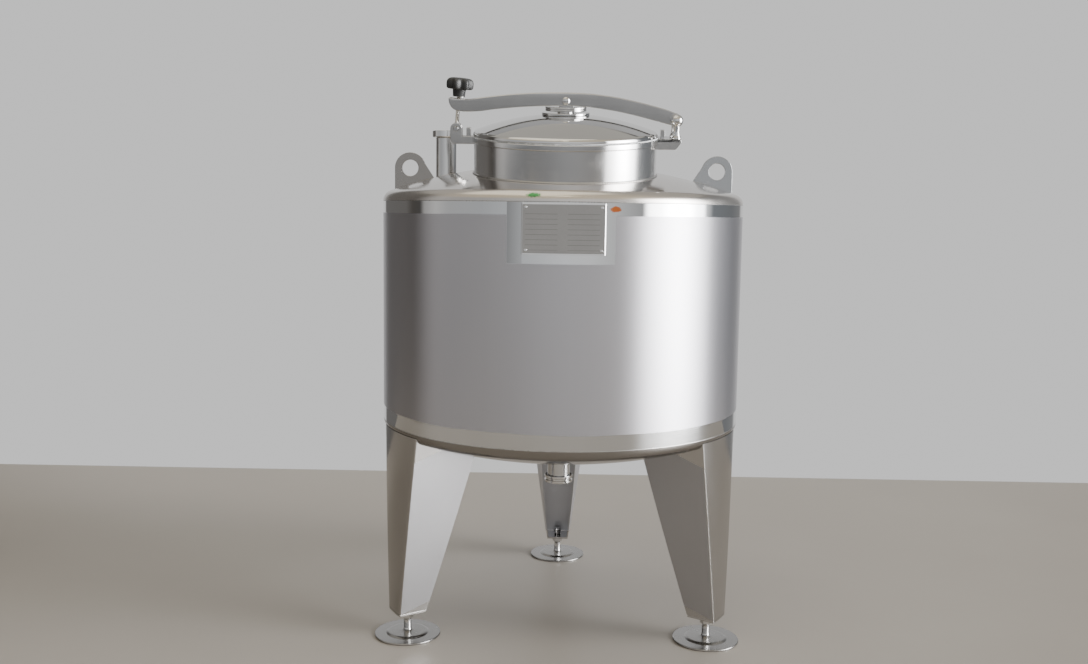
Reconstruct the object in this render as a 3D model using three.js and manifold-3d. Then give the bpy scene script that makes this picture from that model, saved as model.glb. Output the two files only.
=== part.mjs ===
// Vertical stainless-steel process tank on three tapered legs, with a tilted clamped manway on its roof.
// Units are millimetres, +Z is up and -Y is the front. The tank's axis stands AXIS_Y along Y from the
// origin, which is the centre of the tank's footprint on the floor.
import * as THREE from "three";
import { mergeVertices } from "three/addons/utils/BufferGeometryUtils.js";
import Module from "manifold-3d";

const wasm = await Module();
wasm.setup();

// Vessel
const SHELL_R = 500;
const WALL = 4;
const LOW_SEAM_Z = 570;
const TOP_SEAM_Z = 1170;
const CROWN_R = 1450; // dishing radius of both heads
const KNUCKLE_R = 30;
const ROUND = 60; // facets of the vessel, so that the three legs meet like facets
const RIM_ROUND = 40; // facets of the manway
const GAP = 0.3; // running gap left between pieces that are welded or seated on the real tank

// Manway: its own frame lies on the rim's underside and leans forward by MANWAY_TILT
const MANWAY_X = 4;
const MANWAY_Y = -210;
const MANWAY_Z = 1327;
const MANWAY_TILT = THREE.MathUtils.degToRad(9);
const NECK_R = 238;
const RIM_R = 241;
const RIM_H = 14;
const GASKET = { inner: 234.5, outer: 239.5, height: 2.4 };
const LID_R = 240;
const LID_BOTTOM = 17;
const LID_APEX = 72;
const LID_DISH_R = 660; // dishing radius of the lid
const LID_WALL = 3;
const LID_SHOULDER_R = 12;

// Clamp arm over the lid
const ARM_PLATE = 8;
const ARM_SLOT = 16; // clear width between the two plates
const ARM_CENTRE_TOP = 126;
const ARM_CENTRE_BOTTOM = 93.4;
const ARM_BOLT_Z = 105.5;
const ARM_TIP_X = -302;
const PIVOT_X = 285;
const PIVOT_Z = 60.4;
const PIVOT_EYE_R = 16;
const PIN_R = 6;
const PIN_HOLE_R = 6.3;
const BOLT_X = -283.5;
const BOLT_LEAN = THREE.MathUtils.degToRad(4.8); // the knob sits square to the sloping end of the arm
const BOLT_PIN_Z = 32;
const ROD_R = 5.5;
const WASHER_R = 17;
const WASHER_Z = 80.8; // heights of the washer and knob are from the bolt's pin
const KNOB_Z = 82.1;
const KNOB_R = 36;
const KNOB_LOBES = 7;

// Nozzles
const VENT = { x: -329, outer: 28.5, bore: 25.5, lip: 38.5, seat: 1346, top: 1366 };
const OUTLET = { outer: 32, bore: 29, lip: 40, seat: 391.5, end: 371 };

// Lifting lugs
const LUG = { holeX: 430, holeZ: 1263, holeR: 23, headR: 43, thick: 12, innerFootX: 362, innerFootZ: 1234 };

// Nameplate on its folded bracket
const PLATE = { w: 194, h: 115, thick: 1.5, x: 2.5, z: 1106, front: 516 };

// Legs: tapered channels, open towards the tank's axis
const LEG_AZIMUTHS = { left: -60, right: 60, rear: 180 }; // degrees from the front
const LEG_BASE_Z = 64; // underside of the base plate
const LEG_BASE_H = 6;
const LEG_TOP_Z = 560; // the curved outer face ends here, under the knuckle of the lower head
const LEG_FLARE_Z = 520; // below this the outer face stands out by up to LEG_FLARE
const LEG_FLARE = 7;
const FOOT_CIRCLE_R = 467;
const FOOT_R = 88.7;
const SPINDLE_R = 10;

const frontReach = PLATE.front + GAP + PLATE.thick;
const rearReach = FOOT_CIRCLE_R + FOOT_R;
const AXIS_Y = (frontReach - rearReach) / 2;

const steel = (color, roughness) => new THREE.MeshStandardMaterial({ color, roughness, metalness: 1 });
const finishes = {
  satin: steel(0xb9b9b6, 0.38),
  polished: steel(0xcfcfcc, 0.16),
  leg: steel(0xb4b3b0, 0.42),
  bright: steel(0xd4d4d1, 0.12),
  gasket: new THREE.MeshStandardMaterial({ color: 0xe6e4de, roughness: 0.7, metalness: 0 }),
  knob: new THREE.MeshStandardMaterial({ color: 0x17171a, roughness: 0.42, metalness: 0 }),
  plate: steel(0xa9a8a4, 0.5),
};

// Solid of a closed geometry: shared corners merged, slivers on the axis dropped, faces turned outwards.
function solidOf(geometry) {
  const bare = geometry.clone();
  bare.deleteAttribute("normal");
  bare.deleteAttribute("uv");
  const merged = mergeVertices(bare, 1e-4);
  const corners = [];
  for (let i = 0; i < merged.index.count; i += 3) {
    const [a, b, c] = [0, 1, 2].map((k) => merged.index.getX(i + k));
    if (a !== b && b !== c && c !== a) corners.push([a, b, c]);
  }
  const vertProperties = new Float32Array(merged.attributes.position.array);
  const build = (list) =>
    new wasm.Manifold(new wasm.Mesh({ numProp: 3, vertProperties, triVerts: new Uint32Array(list.flat()) }));
  const made = build(corners);
  return made.volume() > 0 ? made : build(corners.map(([a, b, c]) => [a, c, b]));
}

function geometryOf(solid) {
  const mesh = solid.getMesh();
  const places = new Float32Array(mesh.numVert * 3);
  for (let i = 0; i < mesh.numVert; i += 1) {
    places.set(mesh.vertProperties.subarray(i * mesh.numProp, i * mesh.numProp + 3), i * 3);
  }
  const geometry = new THREE.BufferGeometry();
  geometry.setAttribute("position", new THREE.BufferAttribute(places, 3));
  geometry.setIndex(new THREE.BufferAttribute(new Uint32Array(mesh.triVerts), 1));
  geometry.computeVertexNormals();
  return geometry;
}

function addPiece(group, name, solid, finish) {
  const mesh = new THREE.Mesh(geometryOf(solid), finish);
  mesh.name = name;
  group.add(mesh);
}

// Solid turned about +Z from [radius, height] pairs.
function turned(profile, segments = 48) {
  const points = profile.map(([r, z]) => new THREE.Vector2(r, z));
  return solidOf(new THREE.LatheGeometry(points, segments).rotateX(Math.PI / 2));
}

// The same, closed on itself: a ring or tube.
const ring = (profile, segments) => turned([...profile, profile[0]], segments);

// Round bar along Y through (x, z).
function barY(radius, length, x, z, segments = 24) {
  return solidOf(new THREE.CylinderGeometry(radius, radius, length, segments).translate(x, 0, z));
}

function block(width, depth, height, x, y, z) {
  return solidOf(new THREE.BoxGeometry(width, depth, height).translate(x, y, z));
}

// Plate of the given thickness whose outline lies in the XZ plane, centred on y.
function plateXZ(shape, thickness, y = 0, curveSegments = 10) {
  const flat = new THREE.ExtrudeGeometry(shape, { depth: thickness, bevelEnabled: false, curveSegments });
  return solidOf(flat.translate(0, 0, -thickness / 2).rotateX(Math.PI / 2).translate(0, y, 0));
}

// Solid between like outlines at rising heights: each level is {z, outline: [[x, y], ...]}.
function lofted(levels) {
  const count = levels[0].outline.length;
  const places = levels.flatMap(({ z, outline }) => outline.flatMap(([x, y]) => [x, y, z]));
  const faces = [];
  for (let k = 0; k + 1 < levels.length; k += 1) {
    for (let i = 0; i < count; i += 1) {
      const [a, b] = [k * count + i, k * count + ((i + 1) % count)];
      faces.push(a, b, b + count, a, b + count, a + count);
    }
  }
  const contour = levels[0].outline.map(([x, y]) => new THREE.Vector2(x, y));
  const top = (levels.length - 1) * count;
  for (const [a, b, c] of THREE.ShapeUtils.triangulateShape(contour, [])) {
    faces.push(a, c, b, top + a, top + b, top + c);
  }
  const geometry = new THREE.BufferGeometry();
  geometry.setAttribute("position", new THREE.Float32BufferAttribute(places, 3));
  geometry.setIndex(faces);
  return solidOf(geometry);
}

const steps = (n) => Array.from({ length: n + 1 }, (_, i) => i / n);

// Dished head as [radius, height above the seam], from the axis to the seam, offset outwards by grow.
function headArc(grow, crownSteps = 4, knuckleSteps = 3) {
  const inner = CROWN_R - KNUCKLE_R;
  const turn = Math.asin((SHELL_R - KNUCKLE_R) / inner);
  const centre = -Math.sqrt(inner ** 2 - (SHELL_R - KNUCKLE_R) ** 2);
  const crown = steps(crownSteps).map((t) => {
    const angle = turn * t;
    return [(CROWN_R + grow) * Math.sin(angle), centre + (CROWN_R + grow) * Math.cos(angle)];
  });
  const knuckle = steps(knuckleSteps).map((t) => {
    const angle = turn + (Math.PI / 2 - turn) * t;
    const bend = KNUCKLE_R + grow;
    return [SHELL_R - KNUCKLE_R + bend * Math.sin(angle), bend * Math.cos(angle)];
  });
  return [...crown, ...knuckle.slice(1)];
}

function headShell(seamZ, side) {
  const place = ([r, h]) => [r, seamZ + side * (h + GAP / 2)];
  return turned([...headArc(0), ...headArc(-WALL).reverse()].map(place), ROUND);
}

// Everything inside the vessel's outer face near one head, grown by the gap: it trims what is welded on.
function headTrimmer(seamZ, side) {
  const place = ([r, h]) => [r, seamZ + side * h];
  const skirt = [[SHELL_R + GAP, -150], [0, -150]];
  return turned([...headArc(GAP), ...skirt].map(place), ROUND);
}

const topTrim = headTrimmer(TOP_SEAM_Z, 1);
const lowTrim = headTrimmer(LOW_SEAM_Z, -1);

const tank = new THREE.Group();
tank.position.y = AXIS_Y;
const manway = new THREE.Group();
manway.position.set(MANWAY_X, MANWAY_Y, MANWAY_Z);
manway.rotation.x = MANWAY_TILT;
manway.updateMatrix();
tank.add(manway);
const toManway = manway.matrix.clone().invert();

function makeVessel() {
  const low = LOW_SEAM_Z + GAP / 2;
  const high = TOP_SEAM_Z - GAP / 2;
  const inner = SHELL_R - WALL;
  const wall = ring([[SHELL_R, low], [SHELL_R, high], [inner, high], [inner, low]], ROUND);
  addPiece(tank, "shell", wall, finishes.satin);

  const throat = solidOf(new THREE.CylinderGeometry(NECK_R - WALL, NECK_R - WALL, 500, RIM_ROUND)
    .rotateX(Math.PI / 2).applyMatrix4(manway.matrix));
  const ventBore = solidOf(new THREE.CylinderGeometry(VENT.bore, VENT.bore, 400, 32)
    .rotateX(Math.PI / 2).translate(VENT.x, 0, TOP_SEAM_Z));
  const topHead = headShell(TOP_SEAM_Z, 1).subtract(throat).subtract(ventBore);
  addPiece(tank, "top_head", topHead, finishes.polished);

  const drainBore = solidOf(new THREE.CylinderGeometry(OUTLET.bore, OUTLET.bore, 400, 32)
    .rotateX(Math.PI / 2).translate(0, 0, LOW_SEAM_Z - 100));
  addPiece(tank, "bottom_head", headShell(LOW_SEAM_Z, -1).subtract(drainBore), finishes.satin);
}

function makeManwayNeck() {
  const low = -190;
  const bore = NECK_R - WALL;
  const trim = solidOf(geometryOf(topTrim).applyMatrix4(toManway));
  const neck = ring([[NECK_R, low], [NECK_R, -GAP], [bore, -GAP], [bore, low]], RIM_ROUND).subtract(trim);
  addPiece(manway, "manway_neck", neck, finishes.satin);
  const edge = 2;
  addPiece(manway, "manway_rim", ring([
    [bore, 0], [RIM_R - edge, 0], [RIM_R, edge], [RIM_R, RIM_H - edge], [RIM_R - edge, RIM_H], [bore, RIM_H],
  ], RIM_ROUND), finishes.polished);
  const seat = RIM_H + GAP;
  const { inner, outer, height } = GASKET;
  addPiece(manway, "manway_gasket", ring([
    [inner, seat], [outer, seat], [outer, seat + height], [inner, seat + height],
  ], RIM_ROUND), finishes.gasket);
}

// Everything inside the neck and rim, grown by the gap: it trims the brackets welded to them.
function neckTrimmer() {
  return turned([[0, -200], [NECK_R + GAP, -200], [NECK_R + GAP, -GAP], [RIM_R + GAP, -GAP],
    [RIM_R + GAP, 100], [0, 100]], RIM_ROUND);
}

function makeLid() {
  const shoulderR = LID_R - LID_SHOULDER_R;
  const innerDish = LID_DISH_R - LID_SHOULDER_R;
  const dishZ = LID_APEX - LID_DISH_R;
  const shoulderZ = dishZ + Math.sqrt(innerDish ** 2 - shoulderR ** 2);
  const turn = Math.asin(shoulderR / innerDish);
  const dish = (radius, t) => [radius * Math.sin(turn * t), dishZ + radius * Math.cos(turn * t)];
  const crown = steps(5).map((t) => dish(LID_DISH_R, t));
  const shoulder = steps(3).slice(1).map((t) => {
    const angle = turn + (Math.PI / 2 - turn) * t;
    return [shoulderR + LID_SHOULDER_R * Math.sin(angle), shoulderZ + LID_SHOULDER_R * Math.cos(angle)];
  });
  const rim = [[LID_R - 1.2, LID_BOTTOM], [shoulderR, LID_BOTTOM], [shoulderR, LID_BOTTOM + 9]];
  const under = steps(4).map((t) => dish(LID_DISH_R - LID_WALL, 0.95 * (1 - t)));
  const lid = turned([...crown, ...shoulder, ...rim, ...under], RIM_ROUND);
  addPiece(manway, "manway_lid", lid, finishes.bright);

  const bossLow = LID_APEX + GAP;
  const bossHigh = bossLow + 3.7;
  const boss = turned([[0, bossLow], [60, bossLow], [62.5, bossLow + 1], [62.5, bossHigh - 1],
    [60.5, bossHigh], [0, bossHigh]], 32);
  addPiece(manway, "lid_boss", boss, finishes.bright);

  const padLow = bossHigh + GAP;
  const padTop = ARM_CENTRE_BOTTOM - 2.8; // just under the arm's belly at the pad's edge
  const pad = turned([[0, padLow], [22, padLow], [22, 80], [52.5, 80], [54, 81], [54, 84], [52.5, 85],
    [52.5, 86], [54, 87], [54, padTop - 1], [53, padTop], [0, padTop]], 32);
  const lugTop = ARM_CENTRE_TOP - 3;
  const lug = block(36, ARM_SLOT - 2 * GAP, lugTop - 84, 0, 0, (lugTop + 84) / 2);
  const boltHole = barY(PIN_HOLE_R, 40, 0, ARM_BOLT_Z);
  addPiece(manway, "pressure_pad", pad.add(lug).subtract(boltHole), finishes.bright);
}

// Side view of the arm: an arched bar that dips under the knob and is round at its pivot.
function armOutline() {
  const crest = [
    [-300.6, 110.4], [-298.5, 110.6], [-290, 109.3], [-277, 107.9], [-260, 106.6], [-246, 107],
    [-231, 109.4], [-185, 115.6], [-123, 121.9],
    [-62, 125.2], [0, ARM_CENTRE_TOP], [61, 123.8], [122, 116.9], [184, 105.1], [246, 89.8], [268, 83.3],
  ];
  const belly = [
    [266, 49], [248, 53.7], [217, 61.5], [186, 69.2], [155, 76.1], [124, 82], [93, 86.5], [62, 90.4],
    [31, 92.8], [0, ARM_CENTRE_BOTTOM], [-62, 91.9], [-123, 88.3], [-185, 82.2], [-216, 77.8],
    [-247, 75.7], [-270, 76], [-285, 79.4],
  ];
  const lean = Math.atan2(-28, 100); // slope of the arm where it meets the pivot
  const end = PIVOT_EYE_R - 0.5;
  const outline = new THREE.Shape();
  outline.moveTo(ARM_TIP_X, 108.6);
  outline.splineThru(crest.map(([x, z]) => new THREE.Vector2(x, z)));
  outline.absarc(PIVOT_X, PIVOT_Z, end, lean + Math.PI / 2, lean - Math.PI / 2, true);
  outline.splineThru(belly.map(([x, z]) => new THREE.Vector2(x, z)));
  outline.quadraticCurveTo(-299, 86, ARM_TIP_X, 104);
  outline.closePath();
  return outline;
}

function makeClampArm() {
  const offset = (ARM_SLOT + ARM_PLATE) / 2;
  const sides = [-offset, offset].map((y) => plateXZ(armOutline(), ARM_PLATE, y, 2));
  const spacer = (x, z) => block(26, ARM_SLOT + 2, 16, x, 0, z);
  const eye = barY(PIVOT_EYE_R - 2, ARM_SLOT + 2, PIVOT_X, PIVOT_Z);
  const arm = sides[0].add(sides[1]).add(spacer(-178, 99)).add(spacer(186, 87)).add(eye)
    .subtract(barY(PIN_HOLE_R, 80, PIVOT_X, PIVOT_Z))
    .subtract(barY(PIN_HOLE_R, 80, 0, ARM_BOLT_Z));
  addPiece(manway, "clamp_arm", arm, finishes.bright);

  const face = ARM_SLOT / 2 + ARM_PLATE + GAP;
  const bolt = turned([[0, -face - 6], [6, -face - 6], [9.5, -face - 3.5], [10.5, -face], [PIN_R, -face],
    [PIN_R, face], [10, face], [10, face + 9], [PIN_R, face + 9], [PIN_R, face + 12], [0, face + 12]], 16);
  const laid = geometryOf(bolt).rotateX(-Math.PI / 2).translate(0, 0, ARM_BOLT_Z);
  addPiece(manway, "arm_centre_bolt", solidOf(laid), finishes.bright);
}

function makePivot() {
  const postY = 29;
  const flangeY = 39;
  const shelf = RIM_H; // top of the bracket
  const [inner, outer] = [228, 297];
  const side = new THREE.Shape([[inner, -12.5], [284, -12.5], [outer, 5.5], [outer, shelf], [inner, shelf]]
    .map(([x, z]) => new THREE.Vector2(x, z)));
  const top = block(outer - inner, 2 * flangeY + 8, 8, (outer + inner) / 2, 0, shelf - 4);
  const guide = block(11, 24, 29, 251.5, 0, 20.5); // stands beside the lid's edge
  const bracket = plateXZ(side, 8, -flangeY).add(plateXZ(side, 8, flangeY)).add(top).add(guide)
    .subtract(neckTrimmer());
  addPiece(manway, "pivot_bracket", bracket, finishes.polished);

  const ball = steps(5).map((t) => {
    const angle = -Math.PI / 3 + ((Math.PI * 5) / 6) * t;
    return [PIVOT_EYE_R * Math.cos(angle), PIVOT_Z + PIVOT_EYE_R * Math.sin(angle)];
  });
  const foot = shelf + GAP;
  const armSide = block(80, 2 * 17, 200, PIVOT_X, 0, 50);
  const hole = barY(PIN_HOLE_R, 120, PIVOT_X, PIVOT_Z);
  for (const [name, y] of [["pivot_post_front", -postY], ["pivot_post_rear", postY]]) {
    const post = turned([[0, foot], [12, foot], [12, foot + 3], [9, foot + 10], [7.5, foot + 20], ...ball,
      [0, PIVOT_Z + PIVOT_EYE_R]], 18);
    const placed = solidOf(geometryOf(post).translate(PIVOT_X, y, 0));
    addPiece(manway, name, placed.subtract(armSide).subtract(hole), finishes.bright);
  }
  addPiece(manway, "pivot_pin", barY(PIN_R, 2 * postY + 20, PIVOT_X, PIVOT_Z), finishes.bright);
}

function makeSwingBolt() {
  const earY = (ARM_SLOT + ARM_PLATE) / 2 + GAP;
  const earR = 15;
  const shelf = RIM_H - 1;
  const [inner, low] = [-228, -7];
  const ear = new THREE.Shape();
  ear.moveTo(inner, shelf);
  ear.lineTo(inner, low);
  ear.lineTo(BOLT_X - 8, low);
  ear.lineTo(BOLT_X - earR, 4);
  ear.lineTo(BOLT_X - earR, BOLT_PIN_Z);
  ear.absarc(BOLT_X, BOLT_PIN_Z, earR, Math.PI, 0, true);
  ear.lineTo(BOLT_X + earR, shelf);
  ear.closePath();
  const web = block(30, 2 * earY, shelf - low, -245, 0, (shelf + low) / 2);
  const guide = block(11, 24, 30, -251.5, 0, 20); // stands beside the lid's edge
  const bracket = plateXZ(ear, ARM_PLATE, -earY).add(plateXZ(ear, ARM_PLATE, earY)).add(web).add(guide)
    .subtract(neckTrimmer()).subtract(barY(PIN_HOLE_R, 80, BOLT_X, BOLT_PIN_Z));
  addPiece(manway, "clamp_bracket", bracket, finishes.polished);
  addPiece(manway, "swing_pin", barY(PIN_R, 2 * earY + 16, BOLT_X, BOLT_PIN_Z), finishes.bright);

  const swing = new THREE.Group(); // its origin is the pin, and +Z runs along the bolt
  swing.position.set(BOLT_X, 0, BOLT_PIN_Z);
  swing.rotation.y = BOLT_LEAN;
  manway.add(swing);
  const rodTop = 108;
  const rod = solidOf(new THREE.CylinderGeometry(ROD_R, ROD_R, rodTop - 7, 20)
    .rotateX(Math.PI / 2).translate(0, 0, (rodTop + 7) / 2));
  const bolt = barY(13, ARM_SLOT - 2 * GAP, 0, 0).add(rod).subtract(barY(PIN_HOLE_R, 40, 0, 0));
  addPiece(swing, "swing_bolt", bolt, finishes.bright);

  const boreR = ROD_R + 0.5;
  const washerTop = KNOB_Z - GAP;
  const washer = ring([[boreR, WASHER_Z], [WASHER_R, WASHER_Z], [WASHER_R, washerTop],
    [boreR, washerTop]], 24);
  addPiece(swing, "knob_washer", washer, finishes.bright);

  const star = (scale) => steps(KNOB_LOBES * 8).slice(0, -1).map((t) => {
    const r = scale * (KNOB_R - 3.5 + 3.5 * Math.cos(KNOB_LOBES * t * 2 * Math.PI));
    return [r * Math.cos(t * 2 * Math.PI), r * Math.sin(t * 2 * Math.PI)];
  });
  const head = lofted([
    { z: 99.4, outline: star(0.8) }, { z: 102.9, outline: star(0.97) }, { z: 115.4, outline: star(1) },
    { z: 122.9, outline: star(0.93) }, { z: 128.4, outline: star(0.7) },
  ]);
  const hub = turned([[0, KNOB_Z], [15.5, KNOB_Z], [17.5, 101.4], [0, 101.4]], 32);
  const bore = solidOf(new THREE.CylinderGeometry(boreR, boreR, 60, 20)
    .rotateX(Math.PI / 2).translate(0, 0, rodTop + 1 - 30));
  addPiece(swing, "star_knob", head.add(hub).subtract(bore), finishes.knob);
}

function makeNozzles() {
  const { x, outer, bore, lip, seat, top } = VENT;
  const pipe = solidOf(geometryOf(ring([[outer, 1180], [outer, seat], [bore, seat], [bore, 1180]], 32))
    .translate(x, 0, 0)).subtract(topTrim);
  addPiece(tank, "vent_pipe", pipe, finishes.satin);
  const low = seat + GAP;
  const ferrule = ring([[bore, low], [outer + 1, low], [lip - 1, low + 2], [lip, low + 3], [lip, top - 1],
    [lip - 1, top], [bore, top]], 32);
  addPiece(tank, "vent_ferrule", solidOf(geometryOf(ferrule).translate(x, 0, 0)), finishes.polished);

  const drain = ring([[OUTLET.outer, 500], [OUTLET.outer, OUTLET.seat + GAP],
    [OUTLET.bore, OUTLET.seat + GAP], [OUTLET.bore, 500]], 32).subtract(lowTrim);
  addPiece(tank, "outlet_pipe", drain, finishes.satin);
  const { lip: rim, end } = OUTLET;
  addPiece(tank, "outlet_ferrule", ring([
    [OUTLET.bore, end], [rim - 1.5, end], [rim, end + 1.5], [rim, end + 7], [rim - 3, end + 9],
    [rim - 3, end + 12], [rim, end + 14], [rim, OUTLET.seat], [OUTLET.bore, OUTLET.seat],
  ], 28), finishes.polished);
}

function makeLiftingLugs() {
  const { holeX, holeZ, holeR, headR, thick, innerFootX, innerFootZ } = LUG;
  const shape = new THREE.Shape();
  shape.moveTo(innerFootX, 1150);
  shape.lineTo(holeX + headR, 1150);
  shape.lineTo(holeX + headR, holeZ);
  shape.absarc(holeX, holeZ, headR, 0, THREE.MathUtils.degToRad(163), false);
  shape.lineTo(innerFootX, innerFootZ);
  shape.closePath();
  shape.holes.push(new THREE.Path().absarc(holeX, holeZ, holeR, 0, Math.PI * 2, true));
  const right = plateXZ(shape, thick, 0, 16).subtract(topTrim);
  addPiece(tank, "lifting_lug_right", right, finishes.satin);
  addPiece(tank, "lifting_lug_left", solidOf(geometryOf(right).rotateZ(Math.PI)), finishes.satin);
}

function makeNameplate() {
  const { w, h, thick, x, z, front } = PLATE;
  const sheet = 3;
  const depth = 36;
  const vessel = solidOf(new THREE.CylinderGeometry(SHELL_R + GAP, SHELL_R + GAP, 400, ROUND)
    .rotateX(Math.PI / 2).translate(0, 0, z));
  const folded = block(w + 6, depth, h + 6, x, depth / 2 - front, z)
    .subtract(block(w, depth, h + 20, x, depth / 2 + sheet - front, z)).subtract(vessel);
  addPiece(tank, "nameplate_bracket", folded, finishes.polished);
  addPiece(tank, "nameplate", block(w, thick, h, x, -front - GAP - thick / 2, z), finishes.plate);
}

// Leg at height z: its side panels stand in planes through the tank's axis, legTurn from the leg's middle.
const legTurn = (z) => THREE.MathUtils.degToRad(4.5 + 0.0164 * (z - LEG_BASE_Z));
const legInnerR = (z) => 427 - 0.295 * (z - 71);
const legOuterR = (z) => SHELL_R + (LEG_FLARE * Math.max(0, LEG_FLARE_Z - z)) / (LEG_FLARE_Z - LEG_BASE_Z);

// Point at a radius and angle, moved by inset away from the side panel.
const polar = (radius, angle, inset = 0) =>
  [radius * Math.cos(angle) + inset * Math.sin(angle), radius * Math.sin(angle) - inset * Math.cos(angle)];

const legArc = (radius, turn) => steps(4).map((t) => polar(radius, turn * (2 * t - 1)));

function channelSection(z) {
  const turn = legTurn(z);
  const [inner, outer] = [legInnerR(z), legOuterR(z)];
  const innerTurn = turn - Math.asin(WALL / (outer - WALL));
  return [
    polar(inner, -turn), ...legArc(outer, turn), polar(inner, turn),
    polar(inner, turn, WALL), ...legArc(outer - WALL, innerTurn).reverse(), polar(inner, -turn, -WALL),
  ];
}

function makeLeg(side, azimuth) {
  const leg = new THREE.Group();
  leg.rotation.z = THREE.MathUtils.degToRad(azimuth - 90);
  tank.add(leg);
  const channelLow = LEG_BASE_Z + LEG_BASE_H + GAP;
  const levels = [channelLow, 190, 310, 430, LEG_FLARE_Z, LEG_TOP_Z];
  const channel = lofted(levels.map((z) => ({ z, outline: channelSection(z) })));
  addPiece(leg, `leg_${side}`, channel.subtract(lowTrim), finishes.leg);

  const baseOutline = (z) => [polar(legInnerR(z), -legTurn(z)), ...legArc(legOuterR(z), legTurn(z)),
    polar(legInnerR(z), legTurn(z))];
  const hole = solidOf(new THREE.CylinderGeometry(SPINDLE_R + GAP, SPINDLE_R + GAP, 40, 24)
    .rotateX(Math.PI / 2).translate(FOOT_CIRCLE_R, 0, LEG_BASE_Z));
  const base = lofted([LEG_BASE_Z, LEG_BASE_Z + LEG_BASE_H].map((z) => ({ z, outline: baseOutline(z) })));
  addPiece(leg, `leg_base_${side}`, base.subtract(hole), finishes.leg);

  const onFoot = (solid) => solidOf(geometryOf(solid).translate(FOOT_CIRCLE_R, 0, 0));
  const discTop = 5;
  const bossTop = 12;
  addPiece(leg, `foot_disc_${side}`, onFoot(turned([
    [0, 0], [FOOT_R - 1, 0], [FOOT_R, 1], [FOOT_R, 3], [FOOT_R - 3, discTop], [56, discTop], [50, 9],
    [16, bossTop - 2], [12, bossTop], [0, bossTop],
  ], 24)), finishes.leg);
  const foot = bossTop + GAP;
  const spindleTop = 90;
  addPiece(leg, `foot_spindle_${side}`, onFoot(turned([
    [0, foot], [SPINDLE_R + 1, foot], [SPINDLE_R + 1, foot + 4], [SPINDLE_R, foot + 5],
    [SPINDLE_R, spindleTop - 2], [SPINDLE_R - 2, spindleTop], [0, spindleTop],
  ], 16)), finishes.bright);
  const nutLow = 46;
  const nutHigh = LEG_BASE_Z - GAP;
  const nutR = 15.5;
  const nutBore = turned([[0, 0], [SPINDLE_R + GAP, 0], [SPINDLE_R + GAP, 80], [0, 80]], 24);
  const hexagon = turned([[0, nutLow], [nutR, nutLow], [nutR, nutHigh], [0, nutHigh]], 6);
  addPiece(leg, `foot_locknut_${side}`, onFoot(hexagon.subtract(nutBore)), finishes.bright);
}

makeVessel();
makeManwayNeck();
makeLid();
makeClampArm();
makePivot();
makeSwingBolt();
makeNozzles();
makeLiftingLugs();
makeNameplate();
for (const [side, azimuth] of Object.entries(LEG_AZIMUTHS)) makeLeg(side, azimuth);

export default tank;
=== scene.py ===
"""Looks of a vertical stainless-steel process tank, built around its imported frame.

Metres, +Z up, -Y the front. Every piece is made in the frame's own place, so nothing is moved afterwards.
"""
from math import asin, cos, hypot, pi, radians, sin, sqrt, tan

import bmesh
import bpy
from mathutils import Matrix, Vector


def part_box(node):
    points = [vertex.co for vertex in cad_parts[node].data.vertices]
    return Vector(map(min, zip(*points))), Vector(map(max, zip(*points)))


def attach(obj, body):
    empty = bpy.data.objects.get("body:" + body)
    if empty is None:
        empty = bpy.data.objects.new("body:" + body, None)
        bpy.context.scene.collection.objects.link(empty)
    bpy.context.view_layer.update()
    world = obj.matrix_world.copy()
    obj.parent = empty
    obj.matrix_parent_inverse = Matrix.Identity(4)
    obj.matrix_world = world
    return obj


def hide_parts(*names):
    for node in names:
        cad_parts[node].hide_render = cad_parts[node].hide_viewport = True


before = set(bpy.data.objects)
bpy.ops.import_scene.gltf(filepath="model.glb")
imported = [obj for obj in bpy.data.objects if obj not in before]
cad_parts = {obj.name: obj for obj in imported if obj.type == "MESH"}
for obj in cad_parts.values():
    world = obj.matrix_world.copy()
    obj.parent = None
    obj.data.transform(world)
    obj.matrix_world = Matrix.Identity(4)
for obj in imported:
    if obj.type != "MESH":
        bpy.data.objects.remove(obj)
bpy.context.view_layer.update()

GAP = 0.0003  # clearance between pieces that touch

# Vessel, read from the frame
shell_low, shell_high = (Vector(corner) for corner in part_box("shell"))
SHELL_R = (shell_high.x - shell_low.x) / 2
AXIS_Y = (shell_high.y + shell_low.y) / 2
TANK = Matrix.Translation((0, AXIS_Y, 0))
LOW_SEAM = shell_low.z - GAP / 2
TOP_SEAM = shell_high.z + GAP / 2
SEAM_CHAMFER = 0.0010
WALL = 0.004
CROWN_R = 1.45
KNUCKLE_R = 0.03
CROWN_REACH = sqrt((CROWN_R - KNUCKLE_R) ** 2 - (SHELL_R - KNUCKLE_R) ** 2)

# Manway frame: its XY plane is the underside of the rim, leaning forward
MANWAY_TILT = radians(9)
MANWAY = Matrix.Translation((0.004, AXIS_Y - 0.210, 1.327)) @ Matrix.Rotation(MANWAY_TILT, 4, "X")
NECK_R = 0.238
RIM_R = 0.241
RIM_H = 0.014
SEAL_IN, SEAL_OUT, SEAL_H = 0.2345, 0.2395, 0.0024
LID_R = 0.240
LID_BOTTOM = 0.017
LID_APEX = 0.072
LID_DISH = 0.660
LID_SHOULDER = 0.012
BOSS_R = 0.0625
PAD_R = 0.054
GUIDE_X = 0.2515
GUIDE_TOP = 0.035
ARM_TOP = 0.126
ARM_BOTTOM = 0.0934
ARM_BOLT_Z = 0.1055
ARM_PLATE = 0.008
ARM_SLOT = 0.016
PIVOT = (0.285, 0.0604)
BOLT = (-0.2835, 0.032)
BOLT_LEAN = radians(4.8)
PIN_R = 0.006
PIN_HOLE = PIN_R + GAP

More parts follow.
